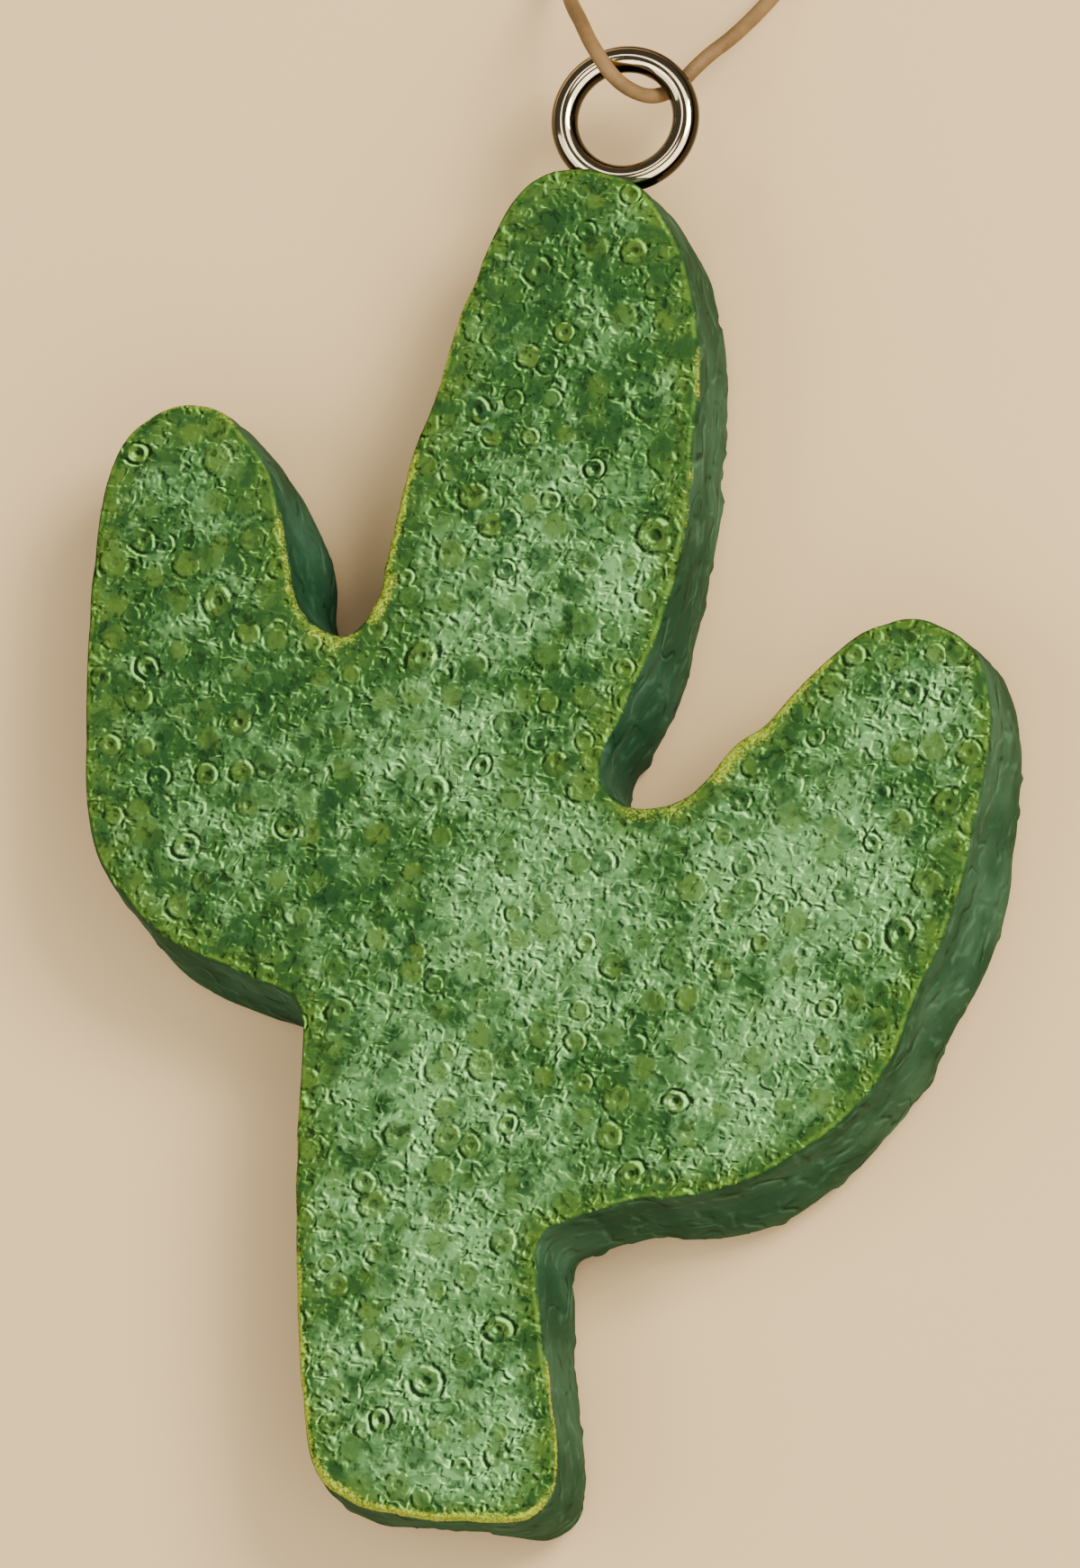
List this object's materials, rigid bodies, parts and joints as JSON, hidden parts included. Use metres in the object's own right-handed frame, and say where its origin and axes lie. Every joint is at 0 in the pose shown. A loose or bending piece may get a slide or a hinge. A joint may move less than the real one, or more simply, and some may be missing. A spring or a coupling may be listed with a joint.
{
  "type": "cactus-shaped bead ornament",
  "caption": "Flat hanging ornament of fused plastic beads in the outline of a cactus, with a metal ring in its crown and a looped cord.",
  "frame": {"origin": "on the surface the ornament lies on, under the middle of the slab and ring together", "axes": "+Z out of the flat front face, +Y up the cactus towards its ring, +X to the viewer's right"},
  "size_m": [0.0793, 0.1564, 0.014],
  "materials": {
    "fused_beads": "green beads melted together, mottled from frosted mint to dark green, with gold mica along the rim",
    "ring_metal": "polished, slightly warm",
    "tan_cord": "smooth round tan cord, satin"
  },
  "bodies": {
    "root": {"cactus_slab": "fused_beads", "hanging_ring": "ring_metal", "cord_strand": "tan_cord", "cord_coil": "tan_cord", "cord_knot": "tan_cord"}
  },
  "joints": []
}
